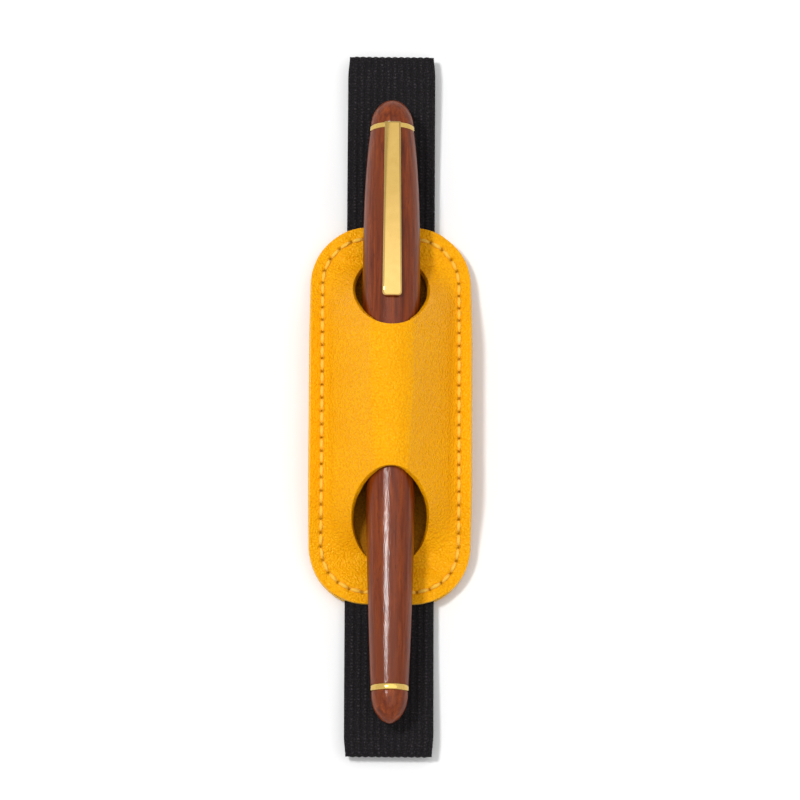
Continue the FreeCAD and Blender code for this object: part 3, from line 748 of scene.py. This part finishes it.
def stitch(bm, inner, side, start, stop):
    """A plump twisted stitch between two needle holes, which dives into them at its ends."""
    middle = (start + stop) / 2
    length = (stop - start).length * STITCH_SHARE
    out = upright(inner, middle.x, middle.y).normalized() * side
    rise = Vector((0, 0, inner(stop.x, stop.y) - inner(start.x, start.y)))
    along = (stop - start + rise).normalized()
    across = out.cross(along).normalized()
    middle.z = outer(inner, side, middle.x, middle.y)
    for vert in bmesh.ops.create_uvsphere(bm, u_segments=12, v_segments=14, radius=1)["verts"]:
        x, y, z = vert.co
        turn = math.atan2(y, x)
        wide = THREAD_HALF * (1 + PLY_DEPTH * math.cos(PLIES * turn + PLY_TWIST * z)) * plumpness(z)
        lift = THREAD_LIFT - THREAD_DIVE * abs(z) ** 3
        vert.co = (
            middle + along * (z * length / 2) + across * (math.cos(turn) * wide)
            + out * (math.sin(turn) * wide * THREAD_FLAT + lift)
        )


def stitch_row(name, node, inner, side):
    """The seam's stitches on one panel's outer face."""
    bm = bmesh.new()
    for start, stop in zip(SEAM, SEAM[1:] + SEAM[:1]):
        stitch(bm, inner, side, start, stop)
    bmesh.ops.recalc_face_normals(bm, faces=bm.faces)
    return show(name, bm, "case", [THREAD], node)


# Elastic loop

def loop_half(side):
    """Half of the loop's middle line, from a sewn-in end out to the fold and back under the sleeve."""
    fold_r = (FOLD_GAP + BAND_THICK) / 2
    fold = BAND_LENGTH / 2 - BAND_THICK / 2 - fold_r
    low = FOLD_LIFT + BAND_THICK / 2
    start = SLEEVE_LENGTH / 2 + side * SLEEVE_OFFSET - TAB_DEPTH
    rise = start + TAB_DEPTH + FOLD_LEVEL
    half = []
    for i in range(FRONT_STEPS):
        y = blend(start, fold, i / FRONT_STEPS)
        half.append((y, blend(TAB_Z, low + 2 * fold_r, smooth((y - rise) / (fold - rise)))))
    for i in range(FOLD_STEPS):
        angle = math.pi * i / FOLD_STEPS
        half.append((fold + fold_r * math.sin(angle), low + fold_r + fold_r * math.cos(angle)))
    for i in range(BACK_STEPS):
        y = blend(fold, 0, i / BACK_STEPS)
        drop = (fold - FOLD_LEVEL / 2 - y) / (FOLD_REACH - FOLD_LEVEL / 2)
        half.append((y, blend(low, BAND_THICK / 2, smooth(drop))))
    return [Vector((0, side * y, z)) for y, z in half]


def rib_height(x):
    """How far the ribbed face stands out at a place across the loop."""
    flank = BAND_WIDTH / 2 - SELVAGE
    if abs(x) > flank:
        return RIB_HEIGHT * SELVAGE_SHARE
    return RIB_HEIGHT * abs(math.cos(math.pi * RIBS * (x + flank) / (2 * flank) - math.pi / 2))


def band_point(line, row, x):
    """A point of the ribbed face, at a row of the loop's line and a place across it."""
    before = line[max(0, row - 1)]
    after = line[min(len(line) - 1, row + 1)]
    out = Vector((1, 0, 0)).cross(after - before).normalized()
    folded = smooth((abs(line[row].y) - BAND_LENGTH / 2 + NARROW_REACH) / NARROW_REACH)
    place = line[row] + out * (BAND_THICK / 2 - RIB_HEIGHT + rib_height(x))
    return place + Vector((x * (1 - FOLD_NARROW * folded), 0, 0))


def elastic_band():
    """The ribbed loop: a grid laid along its middle line, given its thickness."""
    line = loop_half(1) + [Vector((0, 0, BAND_THICK / 2))] + loop_half(-1)[::-1]
    runs = [0.0]
    for before, after in zip(line, line[1:]):
        runs.append(runs[-1] + (after - before).length)
    bm = bmesh.new()
    weave = bm.loops.layers.uv.new("weave")
    last = len(line) - 1
    bmesh.ops.create_grid(bm, x_segments=BAND_CELLS, y_segments=last, size=0.5)
    bmesh.ops.scale(bm, vec=(BAND_WIDTH, 1, 1), verts=bm.verts)
    rows = [round((vert.co.y + 0.5) * last) for vert in bm.verts]
    bm.verts.index_update()
    for face in bm.faces:
        for corner in face.loops:
            run = runs[rows[corner.vert.index]]
            corner[weave].uv = (corner.vert.co.x / RIB_PITCH, run / KNIT_PITCH)
    for vert, row in zip(bm.verts, rows):
        vert.co = band_point(line, row, vert.co.x)
    bmesh.ops.recalc_face_normals(bm, faces=bm.faces)
    piece = show("elastic_loop", bm, "case", [ELASTIC], "elastic_band")
    thick = piece.modifiers.new("thickness", "SOLIDIFY")
    thick.thickness = (BAND_THICK - RIB_HEIGHT) * MM
    thick.offset = -1
    return piece, runs[-1]


# Turned pieces of the pen

def cap_radius(y):
    share = (RING_LOW_Y - y) / (RING_LOW_Y - CAP_LIP_Y)
    return CAP_R - (CAP_R - CAP_NECK_R) * (1 - min(1, share)) ** CAP_FULLNESS


def barrel_radius(y):
    share = (MOUTH_Y - y) / (MOUTH_Y - TAIL_RING_Y)
    return BARREL_R - (BARREL_R - TAIL_R) * max(0, share) ** BARREL_TAPER


def cap_dome(y):
    share = (y - RING_TOP_Y) / (CAP_TIP_Y - RING_TOP_Y)
    return (CAP_NECK_R - RING_PROUD) * math.sqrt(max(0, 1 - share * share))


def tail_taper(y):
    share = (TAIL_Y - y) / (TAIL_Y - TAIL_TIP_Y)
    return (TAIL_R - RING_PROUD) * max(0, 1 - share**TAIL_FULLNESS) ** TAIL_BLUNT


def curve(radius, start, stop, count):
    """Points on a turned curve, closer together towards its end."""
    places = [blend(start, stop, math.sin(math.pi / 2 * i / count)) for i in range(count + 1)]
    return [(y, radius(y)) for y in places]


def ring(low, high, outer_r, inner_r):
    return [(low, inner_r), (low, outer_r), (high, outer_r), (high, inner_r)]


def turned(node, outline, body, paint, edge):
    """A piece turned about the pen's axis from points (place along the pen, radius)."""
    bm = bmesh.new()
    verts = [bm.verts.new((0, y, PEN_Z + radius)) for y, radius in outline]
    edges = [bm.edges.new(pair) for pair in zip(verts, verts[1:] + verts[:1])]
    bmesh.ops.spin(
        bm, geom=verts + edges, cent=(0, 0, PEN_Z), axis=(0, 1, 0), angle=2 * math.pi,
        steps=TURN_STEPS, use_merge=True,
    )
    bmesh.ops.remove_doubles(bm, verts=bm.verts, dist=TINY)
    bmesh.ops.dissolve_degenerate(bm, edges=bm.edges, dist=TINY)
    bmesh.ops.recalc_face_normals(bm, faces=bm.faces)
    soften(bm, edge, TURNED_ANGLE)
    return show(node + "_turned", bm, body, [paint], node)


def cap_shell():
    """The cap's wood, bored for the grip and, narrower, for the nib."""
    step = CAP_LIP_Y + CAP_BORE_DEPTH
    end = CAP_LIP_Y + NIB_BORE_DEPTH
    outline = [(LIP_BAND_Y, CAP_BORE_R)]
    outline += curve(cap_radius, LIP_BAND_Y, RING_LOW_Y, SHELL_STEPS)
    outline += [(RING_LOW_Y, STUD_HOLE_R), (end, STUD_HOLE_R)]
    outline += [(end, NIB_BORE_R), (step, NIB_BORE_R), (step, CAP_BORE_R)]
    return turned("cap_shell", outline, "cap", WOOD, WOOD_EDGE)


def cap_lip_band():
    outline = ring(CAP_LIP_Y, LIP_BAND_Y, CAP_R, CAP_BORE_R)
    return turned("cap_lip_band", outline, "cap", GOLD, LIP_EDGE)


def cap_ring():
    outline = ring(RING_LOW_Y, RING_TOP_Y, CAP_NECK_R + RING_PROUD, STUD_HOLE_R)
    return turned("cap_ring", outline, "cap", GOLD, RING_EDGE)


def cap_finial():
    outline = curve(cap_dome, RING_TOP_Y, CAP_TIP_Y, END_STEPS) + [(RING_TOP_Y, 0)]
    return turned("cap_finial", outline, "cap", END_WOOD, WOOD_EDGE)


def barrel_shell():
    """The barrel's wood, bored for the converter and, wider at its mouth, for the bush."""
    seat = MOUTH_Y - BUSH_LENGTH - FIT_GAP
    end = MOUTH_Y - BARREL_BORE_DEPTH
    outline = [(MOUTH_Y, BUSH_SEAT_R)]
    outline += curve(barrel_radius, MOUTH_Y, TAIL_RING_Y, SHELL_STEPS)
    outline += [(TAIL_RING_Y, STUD_HOLE_R), (end, STUD_HOLE_R)]
    outline += [(end, BARREL_BORE_R), (seat, BARREL_BORE_R), (seat, BUSH_SEAT_R)]
    return turned("barrel_shell", outline, "barrel", WOOD, WOOD_EDGE)


def tail_ring():
    outline = ring(TAIL_Y, TAIL_RING_Y, TAIL_R + RING_PROUD, STUD_HOLE_R)
    return turned("tail_ring", outline, "barrel", GOLD, RING_EDGE)


def tail_finial():
    outline = curve(tail_taper, TAIL_Y, TAIL_TIP_Y, END_STEPS) + [(TAIL_Y, 0)]
    return turned("tail_finial", outline, "barrel", END_WOOD, WOOD_EDGE)


# Clip

CLIP_START_Y = RING_TOP_Y - CLIP_SUNK
ROOT_R = CAP_NECK_R + RING_PROUD + CLIP_GAP
ARM_R = ROOT_R + CLIP_STAND
FOOT_R = cap_radius(CLIP_TIP_Y) + CLIP_GAP
ARM_TIP_R = FOOT_R + CLIP_OPEN


def clip_block(bm, start, stop, low, high, width):
    """A bar along the pen; low, high and width are pairs, at its start and at its stop."""
    for vert in bmesh.ops.create_cube(bm, size=1)["verts"]:
        x, y, z = vert.co
        share = 0.5 - y
        lift = blend(blend(*low, share), blend(*high, share), z + 0.5)
        vert.co = (x * blend(*width, share), blend(start, stop, share), PEN_Z + lift)


def tip_post(edge):
    """Whether an edge is one of the upright corners at the clip's tip."""
    one, other = (vert.co for vert in edge.verts)
    return max(one.y, other.y) < CLIP_TIP_Y + CLIP_SUNK and abs(one.x - other.x) < CLIP_SUNK


def clip_arm(bm):
    """The clip's arm, rounded at its tip and along the rim of its top."""
    low = (ARM_R, ARM_TIP_R)
    high = (ARM_R + CLIP_THICK, ARM_TIP_R + CLIP_THICK)
    clip_block(bm, CLIP_START_Y, CLIP_TIP_Y, low, high, (CLIP_ROOT_WIDTH, CLIP_TIP_WIDTH))
    round_edges(bm, [edge for edge in bm.edges if tip_post(edge)], CLIP_THICK, segments=6)
    bm.normal_update()
    top = [face for face in bm.faces if face.normal.z > 0.9]
    rim = [edge for edge in bm.edges if any(face in top for face in edge.link_faces)]
    round_edges(bm, rim, CLIP_THICK / 2, segments=8)


def cut_across(bm, place, way):
    """Gives a mesh a line of points where a plane cuts it."""
    whole = bm.verts[:] + bm.edges[:] + bm.faces[:]
    bmesh.ops.bisect_plane(bm, geom=whole, plane_co=place, plane_no=way)


def crown_arm(bm):
    """Crowns the arm's top across its width, and bends its nose down."""
    for i in range(NOSE_CUTS):
        cut_across(bm, (0, CLIP_TIP_Y + CLIP_NOSE * (i + 1) / NOSE_CUTS, 0), (0, 1, 0))
    flat = CLIP_ROOT_WIDTH - CLIP_THICK
    for i in range(CROWN_CUTS):
        cut_across(bm, (flat * ((i + 1) / (CROWN_CUTS + 1) - 0.5), 0, 0), (1, 0, 0))
    for vert in bm.verts:
        x, y, z = vert.co
        share = (CLIP_START_Y - y) / (CLIP_START_Y - CLIP_TIP_Y)
        height = (z - PEN_Z - blend(ARM_R, ARM_TIP_R, share)) / CLIP_THICK
        half = blend(CLIP_ROOT_WIDTH, CLIP_TIP_WIDTH, share) / 2
        vert.co.z -= CLIP_CROWN * height * (x / half) ** 2
        vert.co.z -= NOSE_DROP * max(0, 1 - (y - CLIP_TIP_Y) / CLIP_NOSE) ** 2


def clip_bar():
    """The clip: its arm on a root, with a foot under its tip."""
    bm = bmesh.new()
    clip_arm(bm)
    crown_arm(bm)
    heel = RING_LOW_Y - CLIP_THICK / 2
    root_top = ARM_R + CLIP_SUNK
    clip_block(bm, CLIP_START_Y, heel, (ROOT_R, ROOT_R), (root_top, root_top), (CLIP_ROOT_WIDTH,) * 2)
    toe = CLIP_TIP_Y + CLIP_SUNK
    foot_top = ARM_TIP_R + CLIP_SUNK
    foot_width = (CLIP_TIP_WIDTH - CLIP_THICK,) * 2
    clip_block(bm, CLIP_TIP_Y + CLIP_FOOT, toe, (ARM_TIP_R, FOOT_R), (foot_top, foot_top), foot_width)
    bmesh.ops.recalc_face_normals(bm, faces=bm.faces)
    return show("clip_bar", bm, "clip", [CLIP_GOLD], "clip")


# The sewn sleeve, its loop and the pen
front = leather_panel("front_leather", "front_panel", front_inner, 1, holes=True)
back = leather_panel("back_leather", "back_panel", back_inner, -1, holes=False)
stitch_row("front_thread", "front_stitches", front_inner, 1)
stitch_row("back_thread", "back_stitches", back_inner, -1)
loop, loop_length = elastic_band()
cap_shell()
cap_lip_band()
cap_ring()
cap_finial()
barrel_shell()
tail_ring()
tail_finial()
clip_bar()

# The pieces that keep their CAD shape
INNER_NODES = {
    "gold": ["section_collar", "nib"],
    "brass": ["barrel_bush", "cap_stud", "tail_stud"],
    "chrome": ["converter_collar"],
    "liner": ["cap_liner"],
    "resin": ["grip_section", "feed", "converter_knob"],
    "seal": ["piston_seal"],
    "rod": ["piston_rod"],
    "clear": ["converter_tube"],
}
for finish, nodes in INNER_NODES.items():
    for node in nodes:
        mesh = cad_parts[node].data
        mesh.materials.clear()
        mesh.materials.append(INNER_PAINTS[finish])


# Floor, light and camera

def floor():
    bm = bmesh.new()
    bmesh.ops.create_grid(bm, x_segments=1, y_segments=1, size=3.0)
    mesh = bpy.data.meshes.new("floor")
    bm.to_mesh(mesh)
    bm.free()
    paint = Paint("floor", Roughness=0.9, Specular_IOR_Level=0.0)
    tone = paint.noise(paint.place(across=MM, along=MM), scale=3.0)
    colour = paint.steps(tone, (0.3, srgb(252, 252, 252)), (0.7, srgb(254, 254, 254)))
    mesh.materials.append(paint.finish(colour))
    made = bpy.data.objects.new("floor", mesh)
    bpy.context.scene.collection.objects.link(made)


def studio_world():
    """White where it is seen or mirrored; as a light, a little brighter above than at the horizon."""
    world = bpy.data.worlds.new("studio")
    bpy.context.scene.world = world
    sky = Nodes(world)
    coords = sky.add("TexCoord", {}).outputs["Generated"]
    rise = sky.add("SeparateXYZ", {"Vector": coords}).outputs[2]
    light = sky.steps(rise, (0.0, grey(0.4)), (1.0, grey(0.47)))
    path = sky.add("LightPath", {})
    seen = path.outputs["Is Camera Ray"]
    for kind in ("Is Glossy Ray", "Is Transmission Ray"):
        seen = sky.maths("MAXIMUM", seen, path.outputs[kind])
    sky.set(sky.tree.nodes["Background"], "Color", sky.mix(seen, light, grey(1.0)))


def area_light(name, direction, distance, size, power):
    light = bpy.data.lights.new(name, "AREA")
    light.shape = "DISK"
    light.size = size
    light.energy = power
    made = bpy.data.objects.new(name, light)
    bpy.context.scene.collection.objects.link(made)
    way = Vector(direction).normalized()
    made.location = way * distance
    made.rotation_euler = way.to_track_quat("Z", "Y").to_euler()


def photo_camera():
    """Looks down from a little below and a little to the left, as the photo does."""
    tilt = math.radians(12.3)
    side = math.radians(1.2)
    roll = math.radians(0.25)
    aim = Vector((2.3, 1.2, 0)) * MM
    distance = 1.118
    away = Matrix.Rotation(tilt, 3, "X") @ Matrix.Rotation(-side, 3, "Y") @ Vector((0, 0, 1))
    right = Vector((0, 1, 0)).cross(away).normalized()
    turn = Matrix((right, away.cross(right), away)).transposed() @ Matrix.Rotation(roll, 3, "Z")
    lens = bpy.data.cameras.new("camera")
    lens.lens = 221.0
    lens.clip_start = 0.05
    made = bpy.data.objects.new("camera", lens)
    bpy.context.scene.collection.objects.link(made)
    made.matrix_world = Matrix.Translation(aim + away * distance) @ turn.to_4x4()
    bpy.context.scene.camera = made


floor()
studio_world()
area_light("key", direction=(-0.37, 0.1, 1.0), distance=1.3, size=0.2, power=7.7)
area_light("overhead", direction=(0.16, -0.06, 1.0), distance=1.4, size=1.8, power=6.5)
photo_camera()
bpy.context.scene.view_settings.view_transform = "Standard"
